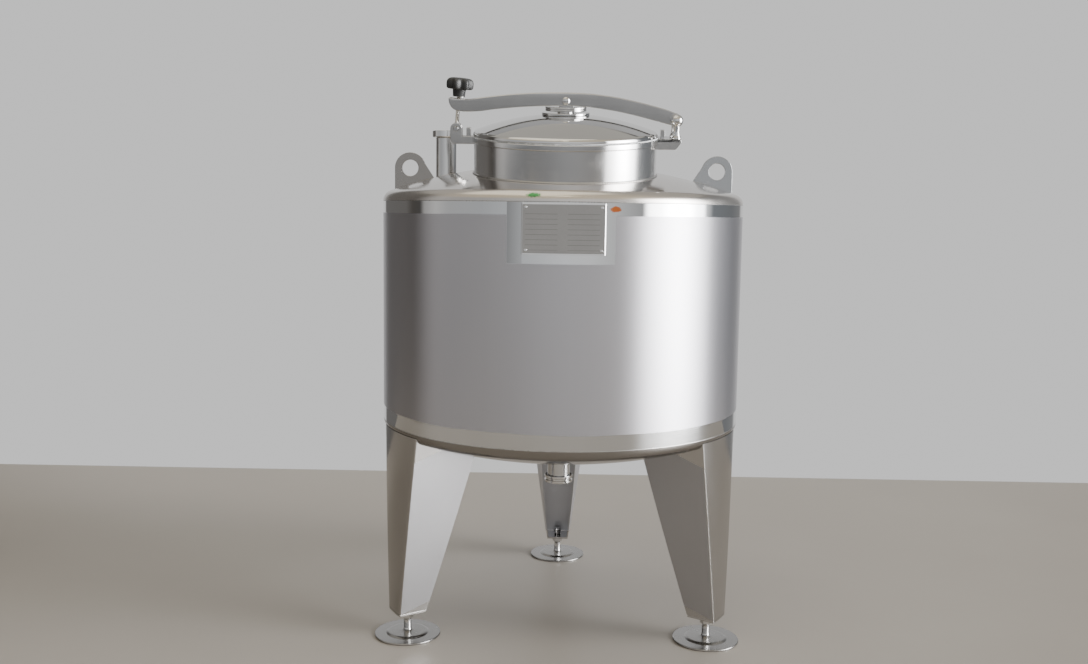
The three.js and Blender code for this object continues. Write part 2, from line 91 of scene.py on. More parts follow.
# Nozzles and lugs
VENT_X = -0.329
VENT_OUT, VENT_IN = 0.0285, 0.0255
OUTLET_OUT, OUTLET_IN = 0.032, 0.029
LUG_HOLE = (0.430, 1.263)
LUG_R = 0.043
LUG_INNER = 0.362
LUG_THICK = 0.012

# Legs and feet
LEG_AZIMUTHS = {"left": -60, "right": 60, "rear": 180}
LEG_BASE = 0.064
LEG_BASE_H = 0.006
LEG_TOP = 0.560
LEG_FLARE_Z = 0.520
LEG_FLARE = 0.007
FOOT_CIRCLE = 0.467
FOOT_R = 0.0887
SPINDLE_R = 0.010

# Steps round a full turn
ROUND = 256
MEDIUM = 96
SMALL = 40

# Photograph's viewpoint, from a fit to the seams, the silhouette and the feet
CAMERA_AT = (-0.003, AXIS_Y - 3.029, 1.149)
CAMERA_PITCH = radians(6.25)
CAMERA_YAW = radians(0.85)
CAMERA_ROLL = radians(0.8)
CAMERA_LENS = 35.33
CAMERA_SHIFT = -0.0042

# Satin field of the shell, the bare window round the nameplate, and the strip at the window's left with
# painted shade and a painted reflection of the nameplate's bracket
FILM_BOTTOM, FILM_TOP = 0.609, 1.138
WINDOW_LEFT, WINDOW_RIGHT, WINDOW_BOTTOM = -0.133, 0.127, 1.0225
SHADE_LEFT, SHADE_RIGHT = -0.136, -0.096

# Small green and orange marks, as place, reach and colour
GREEN_MARK = (-0.0664, -0.5044, 1.1840), (0.024, 0.012, 0.008), (0.07, 0.27, 0.10, 1)
ORANGE_MARK = (0.1258, -0.5029, 1.1537), (0.015, 0.05, 0.008), (0.72, 0.20, 0.06, 1)

# Ruled lines of the nameplate
RULE_START, RULE_PITCH = 1.0505, 0.0121

# Plain steels: slot, shade, roughness, warmth, scale of the grain, swing of the shade, bump, grain's stretch
STEELS = {
    "neck": ("satin_steel", 0.70, 0.15, 0.015, 12, 0.06, 0.05, (1, 1, 30)),
    "rim": ("polished_steel", 0.72, 0.12, 0.01, 70, 0.05, 0.04),
    "bracket": ("polished_steel", 0.56, 0.2, 0.02, 90, 0.16, 0.06),
    "lid": ("bright_steel", 0.68, 0.05, 0.012, 30, 0.03, 0.015),
    "bright": ("bright_steel", 0.66, 0.12, 0.008, 90, 0.06, 0.05),
    "arm": ("bright_steel", 0.56, 0.13, 0.03, 60, 0.24, 0.05, (0.4, 1, 8)),
    "pipe": ("satin_steel", 0.62, 0.2, 0.01, 30, 0.06, 0.05, (1, 1, 12)),
    # The two lugs are one steel in two shades: the left lug's darker, warmer colour is painted shade and the
    # right lug's lighter, cooler colour is painted light
    "lug_left": ("satin_steel", 0.27, 0.26, 0.09, 120, 0.14, 0.08),
    "lug_right": ("satin_steel", 0.38, 0.24, -0.03, 120, 0.10, 0.08),
    "foot": ("leg_steel", 0.34, 0.24, 0.03, 60, 0.25, 0.08),
    "weld": ("satin_steel", 0.48, 0.28, 0.03, 240, 0.15, 0.12),
}


# Shader helpers

def put(tree, node, key, value):
    """Links a socket to an input of a node, or sets the input to a plain value."""
    if isinstance(value, bpy.types.NodeSocket):
        tree.links.new(value, node.inputs[key])
    else:
        node.inputs[key].default_value = value


def add(tree, kind, inputs=None, out=0, **settings):
    """Adds a node, sets or links its inputs, and gives back one of its outputs."""
    node = tree.nodes.new("ShaderNode" + kind)
    for key, value in settings.items():
        setattr(node, key, value)
    for key, value in (inputs or {}).items():
        put(tree, node, key, value)
    return node.outputs[out]


def calc(tree, operation, a, b=0.0, clamp=False):
    return add(tree, "Math", {0: a, 1: b}, operation=operation, use_clamp=clamp)


def times(tree, *values):
    """Product of the values."""
    product = values[0]
    for value in values[1:]:
        product = calc(tree, "MULTIPLY", product, value)
    return product


def vector(tree, operation, a, b=(0.0, 0.0, 0.0), out=0):
    """Vector arithmetic; a length or a distance is output 1."""
    return add(tree, "VectorMath", {0: a, 1: b}, out=out, operation=operation)


def split(tree, value):
    """Three parts of a vector."""
    return add(tree, "SeparateXYZ", {0: value}).node.outputs


def ramp(tree, value, low, high, to_low=0.0, to_high=1.0, smooth=True):
    """Value between low and high, as to_low to to_high."""
    kind = "SMOOTHSTEP" if smooth else "LINEAR"
    inputs = {"Value": value, "From Min": low, "From Max": high, "To Min": to_low, "To Max": to_high}
    return add(tree, "MapRange", inputs, interpolation_type=kind)


def band(tree, value, low, high, soft):
    """1 between low and high, falling to 0 over soft."""
    rise = ramp(tree, value, low - soft, low + soft)
    return times(tree, rise, ramp(tree, value, high - soft, high + soft, 1.0, 0.0))


def mix(tree, factor, a, b):
    """Value a where factor is 0 and b where it is 1."""
    return add(tree, "Mix", {0: factor, 2: a, 3: b})


def blend(tree, factor, a, b):
    """Colour a where factor is 0 and b where it is 1."""
    return add(tree, "Mix", {0: factor, 6: a, 7: b}, out=2, data_type="RGBA")


def noise(tree, place, scale, detail=3.0, rough=0.5):
    return add(tree, "TexNoise", {"Vector": place, "Scale": scale, "Detail": detail, "Roughness": rough})


def grey(value, warm=0.0):
    return (value * (1 + warm), value, value * (1 - warm), 1.0)


def frame_place(tree):
    """Place in the frame, where every piece lies untransformed."""
    return add(tree, "TexCoord", out=3)


def place_of(tree):
    """Place in the frame, and its three parts measured from the tank's axis."""
    place = frame_place(tree)
    return place, *split(tree, vector(tree, "ADD", place, (0, -AXIS_Y, 0)))


def radius_of(tree, x, y):
    """Distance from the tank's axis."""
    return vector(tree, "LENGTH", add(tree, "CombineXYZ", {0: x, 1: y}), out=1)


def near_points(tree, place, points, inner, outer):
    """1 within inner of any of the points, 0 beyond outer."""
    near = 0.0
    for point in points:
        far = vector(tree, "DISTANCE", place, point, out=1)
        near = calc(tree, "MAXIMUM", near, ramp(tree, far, inner, outer, 1.0, 0.0))
    return near


def colour_mark(tree, place, mark, under):
    """Ragged coloured mark over the colour under it."""
    point, reach, color = mark
    scaled = vector(tree, "MULTIPLY", vector(tree, "SUBTRACT", place, point), [1 / r for r in reach])
    far = vector(tree, "LENGTH", scaled, out=1)
    ragged = calc(tree, "ADD", far, times(tree, noise(tree, place, 260.0, 2.0, 0.6), 0.9))
    return blend(tree, ramp(tree, ragged, 1.5, 1.1), under, color)


def blank(name):
    """New material and its node tree."""
    material = bpy.data.materials.new(name)
    material.use_nodes = True
    return material, material.node_tree


def finished(material, color, roughness, height=None, strength=0.0, distance=0.0004, **inputs):
    """The material, with the inputs of its shader set or linked."""
    tree = material.node_tree
    shader = next(n for n in tree.nodes if n.type == "BSDF_PRINCIPLED")
    inputs = {"metallic": 1.0, "base_color": color, "roughness": roughness, **inputs}
    if height is not None:
        inputs["normal"] = add(tree, "Bump", {"Height": height, "Strength": strength, "Distance": distance})
    for key, value in inputs.items():
        put(tree, shader, key.replace("_", " ").title(), value)
    return material


# Materials

def steel(name, shade, rough, warm, grain_scale, swing, bump, grain=(1, 1, 1)):
    """Plain stainless steel: slow changes of shade, fine grain stretched by grain, faint handling marks."""
    material, tree = blank(name)
    place = frame_place(tree)
    slow = noise(tree, place, 4.0, 4.0, 0.6)
    fine = noise(tree, vector(tree, "MULTIPLY", place, grain), grain_scale, 2.0, 0.5)
    smudge = ramp(tree, noise(tree, place, 13.0, 5.0, 0.65), 0.52, 0.72)
    color = blend(tree, slow, grey(shade * (1 - swing), warm), grey(shade * (1 + swing), warm * 0.4))
    uneven = add(tree, "Math", {0: slow, 1: rough * 0.5, 2: rough * 0.65}, operation="MULTIPLY_ADD")
    with_fine = calc(tree, "ADD", uneven, times(tree, fine, rough * 0.25))
    roughness = calc(tree, "ADD", with_fine, times(tree, smudge, 0.05), clamp=True)
    return finished(material, color, roughness, fine, bump)


def shell_steel():
    """Shell: a satin field, with bare steel in a band at each seam and in a window round the nameplate, and
    painted shade in a strip at the window's left.
    """
    material, tree = blank("shell_steel")
    place, x, y, z = place_of(tree)
    wander = times(tree, calc(tree, "SUBTRACT", noise(tree, place, 5.0, 2.0), 0.5), 0.006)
    field = band(tree, calc(tree, "ADD", z, wander), FILM_BOTTOM, FILM_TOP, 0.0012)
    above = ramp(tree, z, WINDOW_BOTTOM - 0.001, WINDOW_BOTTOM + 0.001)
    front = ramp(tree, y, 0.0, -0.05)
    window = times(tree, band(tree, x, WINDOW_LEFT, WINDOW_RIGHT, 0.001), above, front)
    film = times(tree, field, calc(tree, "SUBTRACT", 1.0, window))
    fine = noise(tree, vector(tree, "MULTIPLY", place, (1.0, 1.0, 160.0)), 6.0, 3.0, 0.6)
    streak = noise(tree, vector(tree, "MULTIPLY", place, (14.0, 14.0, 0.5)), 1.3, 3.0, 0.55)
    slow = noise(tree, place, 3.0, 4.0, 0.6)
    # Painted shade and reflection: the strip left of the nameplate is blended towards dark grey, most at its
    # left edge, for the bracket's shadow and its dark reflection
    fading = ramp(tree, x, SHADE_LEFT, SHADE_RIGHT, 0.62, 0.25, smooth=False)
    shaded = times(tree, window, fading, ramp(tree, x, SHADE_RIGHT - 0.002, SHADE_RIGHT + 0.002, 1.0, 0.0))
    bare = blend(tree, shaded, blend(tree, slow, grey(0.68), grey(0.76, -0.01)), grey(0.15, 0.05))
    satin = blend(tree, streak, (0.515, 0.507, 0.535, 1), (0.545, 0.537, 0.567, 1))
    color = colour_mark(tree, place, ORANGE_MARK, blend(tree, film, bare, satin))
    bare_rough = ramp(tree, fine, 0.3, 0.7, 0.04, 0.07, smooth=False)
    satin_rough = ramp(tree, streak, 0.25, 0.75, 0.34, 0.37, smooth=False)
    relief = calc(tree, "ADD", times(tree, fine, 0.05), times(tree, film, 0.5))
    tangent = add(tree, "Tangent", direction_type="RADIAL", axis="Z")
    return finished(material, color, mix(tree, film, bare_rough, satin_rough), relief, 0.25, 0.0003,
                    anisotropic=0.6, anisotropic_rotation=0.25, tangent=tangent)


def head_steel(name, shade, warm, warm_spots=()):
    """Polished head with a golden heat tint round what is welded on, and a ground band near its edge."""
    material, tree = blank(name)
    place, x, y, _ = place_of(tree)
    slow = noise(tree, place, 5.0, 5.0, 0.6)
    swirl = noise(tree, place, 38.0, 3.0, 0.6)
    color = blend(tree, slow, grey(shade * 0.95, warm), grey(shade * 1.05, warm * 0.4))
    dull = 0.0
    for points, inner, outer in warm_spots:
        tint = times(tree, near_points(tree, place, points, inner, outer), 0.75)
        color = blend(tree, tint, color, (0.50, 0.37, 0.22, 1))
        dull = calc(tree, "MAXIMUM", dull, tint)
    if warm_spots:
        color = colour_mark(tree, place, GREEN_MARK, color)
    polished = ramp(tree, slow, 0.3, 0.7, 0.11, 0.17)
    ground = times(tree, ramp(tree, radius_of(tree, x, y), 0.478, 0.496), 0.09)
    roughness = calc(tree, "ADD", calc(tree, "ADD", polished, ground), times(tree, dull, 0.30))
    return finished(material, color, roughness, swirl, 0.05, 0.0006)


def leg_steel():
    """Legs: dull rolled side panels, with a ground band at the top weld and the foot, and a bare front."""
    material, tree = blank("leg_steel")
    place, x, y, z = place_of(tree)
    radius = radius_of(tree, x, y)
    slant = calc(tree, "ADD", z, times(tree, radius, 0.28))
    face = ramp(tree, z, LEG_BASE, LEG_FLARE_Z, SHELL_R + LEG_FLARE, SHELL_R, smooth=False)
    panel = ramp(tree, calc(tree, "SUBTRACT", face, radius), 0.0010, 0.0030)
    film = times(tree, band(tree, slant, 0.212, 0.634, 0.002), panel)
    slow = noise(tree, place, 6.0, 4.0, 0.6)
    speck = noise(tree, place, 240.0, 2.0, 0.5)
    bare = blend(tree, slow, grey(0.46, 0.03), grey(0.54, 0.015))
    satin = blend(tree, slow, (0.440, 0.438, 0.455, 1), (0.480, 0.478, 0.495, 1))
    bare_rough = ramp(tree, slow, 0.3, 0.7, 0.13, 0.19)
    satin_rough = ramp(tree, speck, 0.3, 0.7, 0.36, 0.42)
    return finished(material, blend(tree, film, bare, satin), mix(tree, film, bare_rough, satin_rough),
                    speck, 0.05, 0.0003)


def plate_face():
    """Nameplate: matte etched sheet with blank ruled fields and no lettering."""
    material, tree = blank("nameplate_face")
    place, x, _, z = place_of(tree)
    rows = calc(tree, "FRACT", times(tree, calc(tree, "SUBTRACT", z, RULE_START), 1 / RULE_PITCH))
    left = band(tree, x, -0.088, -0.012, 0.0008)
    right = band(tree, x, 0.012, 0.088, 0.0008)
    fields = times(tree, calc(tree, "MAXIMUM", left, right), band(tree, z, 1.056, 1.152, 0.001))
    line = times(tree, band(tree, rows, 0.44, 0.52, 0.03), fields, 0.65)
    slow = noise(tree, place, 9.0, 4.0, 0.6)
    speck = noise(tree, place, 420.0, 2.0, 0.6)
    color = blend(tree, line, blend(tree, slow, grey(0.27, 0.02), grey(0.35, 0.02)), grey(0.12, 0.02))
    return finished(material, color, ramp(tree, speck, 0.3, 0.7, 0.42, 0.55), speck, 0.1, 0.0002)


def plastic(name, shade, rough):
    material, tree = blank(name)
    place = frame_place(tree)
    speck = noise(tree, place, 700.0, 3.0, 0.6)
    rubbed = ramp(tree, noise(tree, place, 45.0, 4.0, 0.6), 0.45, 0.7)
    color = blend(tree, rubbed, grey(shade, -0.03), grey(shade * 1.7, -0.02))
    roughness = ramp(tree, speck, 0.3, 0.7, rough * 0.85, rough * 1.2)
    return finished(material, color, roughness, speck, 0.15, 0.0002, metallic=0.0)


def floor_paint():
    material, tree = blank("floor_paint")
    cloud = noise(tree, frame_place(tree), 1.4, 5.0, 0.55)
    color = blend(tree, cloud, (0.30, 0.275, 0.245, 1), (0.35, 0.322, 0.29, 1))
    return finished(material, color, 0.42, metallic=0.0)


def make_looks():
    """Each look's material and slot."""
    lug_feet = [[(side * x, AXIS_Y, TOP_SEAM + crown_height(x)) for x in (0.38, 0.42, 0.46)]
                for side in (-1, 1)]
    vent_foot = [(VENT_X, AXIS_Y, TOP_SEAM + crown_height(VENT_X))]
    warm_spots = [*((foot, 0.012, 0.060) for foot in lug_feet), (vent_foot, 0.030, 0.052)]
    return {
        "shell": (shell_steel(), "satin_steel"),
        "head": (head_steel("head_steel", 0.64, 0.08, warm_spots), "polished_steel"),
        # The bottom head is the head steel made darker and warmer: painted shade for the shaded floor under
        # the tank that it reflects
        "low_head": (head_steel("low_head_steel", 0.29, 0.08), "satin_steel"),
        **{look: (steel(look + "_steel", *values), slot) for look, (slot, *values) in STEELS.items()},
        "leg": (leg_steel(), "leg_steel"),
        "plate": (plate_face(), "plate_steel"),
        "seal": (plastic("seal_rubber", 0.55, 0.6), "seal"),
        "knob": (plastic("knob_plastic", 0.018, 0.48), "black_knob"),
    }


# Mesh helpers

def shift(x, y, z):
    """Translation matrix."""
    return Matrix.Translation((x, y, z))


def placed(name, data):
    """Object with that data, linked to the scene."""
    obj = bpy.data.objects.new(name, data)
    bpy.context.scene.collection.objects.link(obj)
    return obj


def outcome(holder, keep_normals=False):
    """Mesh that an object comes to with its modifiers. The object is removed."""
    graph = bpy.context.evaluated_depsgraph_get()
    mesh = bpy.data.meshes.new_from_object(holder.evaluated_get(graph), preserve_all_data_layers=keep_normals,
                                           depsgraph=graph)
    bpy.data.objects.remove(holder)
    return mesh


def mesh_from(verts, faces, matrix=Matrix()):
    mesh = bpy.data.meshes.new("part")
    mesh.from_pydata([tuple(v) for v in verts], [], faces)
    mesh.transform(matrix)
    return mesh


def closed(mesh):
    """The mesh with its doubled corners merged and its faces turned outward."""
    tidy = bmesh.new()
    tidy.from_mesh(mesh)
    bmesh.ops.remove_doubles(tidy, verts=tidy.verts, dist=1e-6)
    bmesh.ops.recalc_face_normals(tidy, faces=tidy.faces)
    tidy.to_mesh(mesh)
    tidy.free()
    return mesh


def joined(meshes):
    """One mesh from several."""
    both = bmesh.new()
    for mesh in meshes:
        both.from_mesh(mesh)
    out = bpy.data.meshes.new("joined")
    both.to_mesh(out)
    both.free()
    return out


def cut(mesh, cutter):
    """Mesh less a closed cutter. Both meshes are used up."""
    holder, tool = placed("cut", mesh), placed("tool", cutter)
    change = holder.modifiers.new("cut", "BOOLEAN")
    change.operation = "DIFFERENCE"
    change.solver = "EXACT"
    change.object = tool
    made = outcome(holder)
    bpy.data.objects.remove(tool)
    return made


def weighted(mesh):
    """The mesh with normals that keep its large faces flat beside narrow rounded edges."""
    holder = placed("weighted", mesh)
    holder.modifiers.new("weighted", "WEIGHTED_NORMAL").keep_sharp = True
    made = outcome(holder, keep_normals=True)
    bpy.data.meshes.remove(mesh)
    return made


def piece(name, mesh, look, body="tank", nodes=None, sharp=32):
    """Makes a piece that rides on body and stands for the CAD nodes, or else for the one of its own name."""
    material, slot = LOOKS[look]
    closed(mesh)
    mesh.polygons.foreach_set("use_smooth", [True] * len(mesh.polygons))
    mesh.set_sharp_from_angle(angle=radians(sharp))
    mesh = weighted(mesh)
    mesh.name = name
    mesh.materials.clear()
    mesh.materials.append(material)
    obj = placed(name, mesh)
    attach(obj, body)
    nodes = [name] if nodes is None else nodes
    if nodes:
        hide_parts(*nodes)


def rounded(points, steps=5):
    """Outline through (x, y, radius) corners, each turned into an arc; one of radius 0 stays as it is."""
    out = []
    count = len(points)
    for i, (x, y, radius) in enumerate(points):
        here = Vector((x, y))
        if radius <= 0:
            out.append((x, y))
            continue
        before = (Vector(points[i - 1][:2]) - here).normalized()
        after = (Vector(points[(i + 1) % count][:2]) - here).normalized()
        half = before.angle(after) / 2
        reach = radius / tan(half)
        centre = here + (before + after).normalized() * (radius / sin(half))
        start = here + before * reach - centre
        turn = start.angle_signed(here + after * reach - centre)
        for k in range(steps + 1):
            angle = -turn * k / steps
            c, s = cos(angle), sin(angle)
            out.append((centre.x + start.x * c - start.y * s, centre.y + start.x * s + start.y * c))
    return out


def rectangle(x0, y0, x1, y1, radii, steps=5):
    """Outline of a rectangle, with a radius for each corner from the lower left on."""
    return rounded([(x0, y0, radii[0]), (x1, y0, radii[1]), (x1, y1, radii[2]), (x0, y1, radii[3])], steps)


def arc(cx, cy, radius, start, end, steps):
    """Points on a circle from start to end, in degrees."""
    turn = [radians(start + (end - start) * k / steps) for k in range(steps + 1)]
    return [(cx + radius * cos(a), cy + radius * sin(a)) for a in turn]


def circle(cx, cy, radius, steps=32):
    return arc(cx, cy, radius, 0, 360, steps)[:-1]


def smooth_path(points, steps=5):
    """Catmull-Rom curve through 2D points, ends included."""
    ends = [points[0], *points, points[-1]]
    out = []
    for a, b, c, d in zip(ends, ends[1:], ends[2:], ends[3:]):
        for k in range(steps):
            t = k / steps
            out.append(tuple(
                0.5 * (2 * b[i] + (c[i] - a[i]) * t + (2 * a[i] - 5 * b[i] + 4 * c[i] - d[i]) * t * t
                       + (3 * b[i] - a[i] - 3 * c[i] + d[i]) * t ** 3) for i in (0, 1)))
    return [*out, points[-1]]


def angles(steps):
    """Angles of a full turn."""
    return [2 * pi * k / steps for k in range(steps)]


def ring(radius, height, steps):
    """Points round the Z axis, from the front on."""
    return [(radius * sin(a), -radius * cos(a), height) for a in angles(steps)]


def quads(low, high, count):
    """Faces between two rings of vertices, given as the number of each ring's first."""
    return [(low + k, low + (k + 1) % count, high + (k + 1) % count, high + k) for k in range(count)]


def lathe(profile, steps, matrix=TANK):
    """Mesh of a profile of (radius, height) turned about Z and laid in place by matrix.

    The profile starts and ends on the axis, or is a closed loop."""
    verts, rings, faces = [], [], []
    for radius, height in profile:
        if radius < 1e-7:
            rings.append([len(verts)] * steps)
            verts.append((0, 0, height))
        else:
            rings.append([len(verts) + k for k in range(steps)])
            verts += ring(radius, height, steps)
    pairs = list(zip(rings, rings[1:]))
    if profile[0][0] > 0:
        pairs.append((rings[-1], rings[0]))
    for low, high in pairs:
        for k in range(steps):
            n = (k + 1) % steps
            corners = [low[k], low[n], high[n], high[k]]
            face = [v for i, v in enumerate(corners) if v not in corners[:i]]
            if len(face) > 2:
                faces.append(face)
    return closed(mesh_from(verts, faces, matrix))


def rod(radius, start, end, matrix, steps=48):
    """Closed cylinder between two points, as a mesh laid in place by matrix."""
    start, end = Vector(start), Vector(end)
    turn = (end - start).to_track_quat("Z", "Y").to_matrix().to_4x4()
    length = (end - start).length
    mesh = lathe([(0, 0), (radius, 0), (radius, length), (0, length)], steps, shift(*start) @ turn)
    mesh.transform(matrix)
    return mesh


def box_mesh(low, high, matrix):
    (x0, y0, z0), (x1, y1, z1) = low, high
    verts = [(x, y, z) for x in (x0, x1) for y in (y0, y1) for z in (z0, z1)]
    faces = [(0, 1, 3, 2), (4, 6, 7, 5), (0, 4, 5, 1), (2, 3, 7, 6), (0, 2, 6, 4), (1, 5, 7, 3)]
    return mesh_from(verts, faces, matrix)


def weld(name, path, radius, ripple, beats, sides=8, loop=True, matrix=TANK):
    """Weld bead along a path of points; ripple and beats give it its scales."""
    verts, faces = [], []
    count = len(path)
    for i, point in enumerate(path):
        ahead = path[(i + 1) % count] if loop or i + 1 < count else point
        behind = path[i - 1] if loop or i else point
        along = (ahead - behind).normalized()
        side = along.cross(Vector((0, 0, 1))).normalized()
        up = side.cross(along)
        size = radius * (1 + ripple * sin(2 * pi * beats * i / count))
        verts += [point + (side * cos(a) + up * sin(a)) * size for a in angles(sides)]
    for i in range(count if loop else count - 1):
        faces += quads(i * sides, (i + 1) % count * sides, sides)
    if not loop:
        faces += [tuple(range(sides)), tuple(range((count - 1) * sides, count * sides))]
    piece(name, mesh_from(verts, faces, matrix), "weld", nodes=())


def plate_mesh(loops, thickness, bevel, matrix):
    """Flat plate with rounded edges from an outline and its holes, as a mesh laid in place by matrix."""
    curve = bpy.data.curves.new("outline", "CURVE")
    curve.dimensions = "2D"
    curve.fill_mode = "BOTH"
    curve.extrude = thickness / 2 - bevel
    curve.bevel_depth = bevel
    curve.bevel_resolution = 2
    curve.offset = -bevel
    for loop in loops:
        spline = curve.splines.new("POLY")
        spline.points.add(len(loop) - 1)
        for point, (x, y) in zip(spline.points, loop):
            point.co = (x, y, 0, 1)
        spline.use_cyclic_u = True
    mesh = outcome(placed("outline", curve))
    bpy.data.curves.remove(curve)
    mesh.transform(matrix)
    return mesh


XZ = Matrix.Rotation(pi / 2, 4, "X")  # lays an outline of (x, z) upright, facing -Y


def facing(y):
    """Outline in the XZ plane, centred on y."""
    return shift(0, y, 0) @ XZ


def on_manway(x, z):
    """Frame at a point of the manway's middle plane."""
    return MANWAY @ shift(x, 0, z)


# Vessel

def crown_height(radius):
    """Height of a head's outer face above its seam, inside the knuckle."""
    return sqrt(CROWN_R ** 2 - radius ** 2) - CROWN_REACH


def head_profile(grow):
    """Half section of a head's outer face from the axis to the seam, grown outward."""
    crown_steps, knuckle_steps = 40, 10
    turn = asin((SHELL_R - KNUCKLE_R) / (CROWN_R - KNUCKLE_R))
    out = []
    for k in range(crown_steps + 1):
        a = turn * k / crown_steps
        out.append(((CROWN_R + grow) * sin(a), (CROWN_R + grow) * cos(a) - CROWN_REACH))
    for k in range(1, knuckle_steps + 1):
        a = turn + (pi / 2 - turn) * k / knuckle_steps
        out.append((SHELL_R - KNUCKLE_R + (KNUCKLE_R + grow) * sin(a), (KNUCKLE_R + grow) * cos(a)))
    return out


def head_room(seam, side):
    """Closed solid of a head out to past its seam, which trims what is welded to the head."""
    trim = [(r, seam + side * h) for r, h in head_profile(GAP)]
    end = seam - side * 0.15
    return lathe([*trim, (SHELL_R + GAP, end), (0, end)], ROUND)


def make_head(name, seam, side, holes, look):
    outer = head_profile(0)
    outer[-1:] = [(SHELL_R, SEAM_CHAMFER), (SHELL_R - SEAM_CHAMFER, GAP / 2)]
    inner = head_profile(-WALL)
    profile = [(r, seam + side * h) for r, h in outer + [(SHELL_R - WALL, GAP / 2)] + inner[-2::-1]]
    mesh = lathe(profile, ROUND)
    for hole in holes:
        mesh = cut(mesh, hole)
    piece(name, mesh, look)


def make_vessel():
    low, high = LOW_SEAM + GAP / 2, TOP_SEAM - GAP / 2
    inner, edge = SHELL_R - WALL, SHELL_R - SEAM_CHAMFER
    wall = [(SHELL_R, low + SEAM_CHAMFER), (SHELL_R, high - SEAM_CHAMFER), (edge, high), (inner, high),
            (inner, low), (edge, low)]
    piece("shell_wall", lathe(wall, ROUND), "shell", nodes=["shell"])

    throat = rod(NECK_R - WALL, (0, 0, -0.30), (0, 0, 0.05), MANWAY, 128)
    vent_hole = rod(VENT_IN, (VENT_X, 0, 1.1), (VENT_X, 0, 1.35), TANK)
    drain_hole = rod(OUTLET_IN, (0, 0, 0.40), (0, 0, 0.52), TANK)
    make_head("top_head", TOP_SEAM, 1, [throat, vent_hole], "head")
    make_head("bottom_head", LOW_SEAM, -1, [drain_hole], "low_head")

    half, root = 0.0013, SHELL_R - 0.002
    for name, seam in (("top_seam_weld", TOP_SEAM), ("low_seam_weld", LOW_SEAM)):
        bulge = [(SHELL_R - 0.0009 + 0.0008 * cos(a), seam + half * sin(a))
                 for a in (radians(d) for d in range(-90, 91, 15))]
        bead = [*bulge, (root, seam + half * 0.6), (root, seam - half * 0.6)]
        piece(name, lathe(bead, ROUND), "weld", nodes=())


def on_head(point, direction, seam, side):
    """Where a line through a point, in the tank's own axes, meets the crown of a head."""
    offset = point - Vector((0, 0, seam - side * CROWN_REACH))
    along = direction.normalized()
    half = offset.dot(along)
    root = sqrt(half ** 2 - offset.length_squared + CROWN_R ** 2)
    return point + along * (-half + (root if side * along.z < 0 and offset.length < CROWN_R else -root))


def meeting_ring(radius, place, down, steps, seam=TOP_SEAM, side=1):
    """Closed path where a tube of that radius, standing in place, meets a head."""
    return [on_head(place @ Vector(point), down, seam, side) for point in ring(radius, 0, steps)]


def saddle_tube(name, outer, inner, top, place, look, steps=MEDIUM, seam=TOP_SEAM, side=1):
    """Tube that stands on a head and follows its curve; top is its far end, in its own frame."""
    up = (place.to_3x3() @ Vector((0, 0, 1))).normalized()
    edge = 0.0008
    end = ((outer, top - edge), (outer - edge, top), (inner + edge, top), (inner, top - edge))
    rings = [[place @ Vector(p) for p in ring(radius, height, steps)] for radius, height in end]
    feet = [[p + up * GAP for p in meeting_ring(radius, place, -up, steps, seam, side)]
            for radius in (outer, inner)]
    rings = [feet[0], *rings, feet[1]]
    faces = []
    for i in range(len(rings)):
        faces += quads(i * steps, (i + 1) % len(rings) * steps, steps)
    piece(name, mesh_from([v for points in rings for v in points], faces, TANK), look)


# Manway

def make_neck():
    place = TANK.inverted() @ MANWAY
    saddle_tube("manway_neck", NECK_R, NECK_R - WALL, -GAP, place, "neck", ROUND)
    up = place.to_3x3() @ Vector((0, 0, 1))
    path = [p + up * 0.0006 for p in meeting_ring(NECK_R + 0.0012, place, -up, 720)]
    weld("neck_weld", path, 0.0027, 0.10, 240)

    rim = rectangle(NECK_R - WALL, 0, RIM_R, RIM_H, (0.001, 0.002, 0.002, 0.002))
    piece("manway_rim", lathe(rim, ROUND, MANWAY), "rim")
    low = RIM_H + GAP
    seal = rectangle(SEAL_IN, low, SEAL_OUT, low + SEAL_H, (0.0008, 0.001, 0.001, 0.0008), 4)
    piece("manway_gasket", lathe(seal, ROUND, MANWAY), "seal")


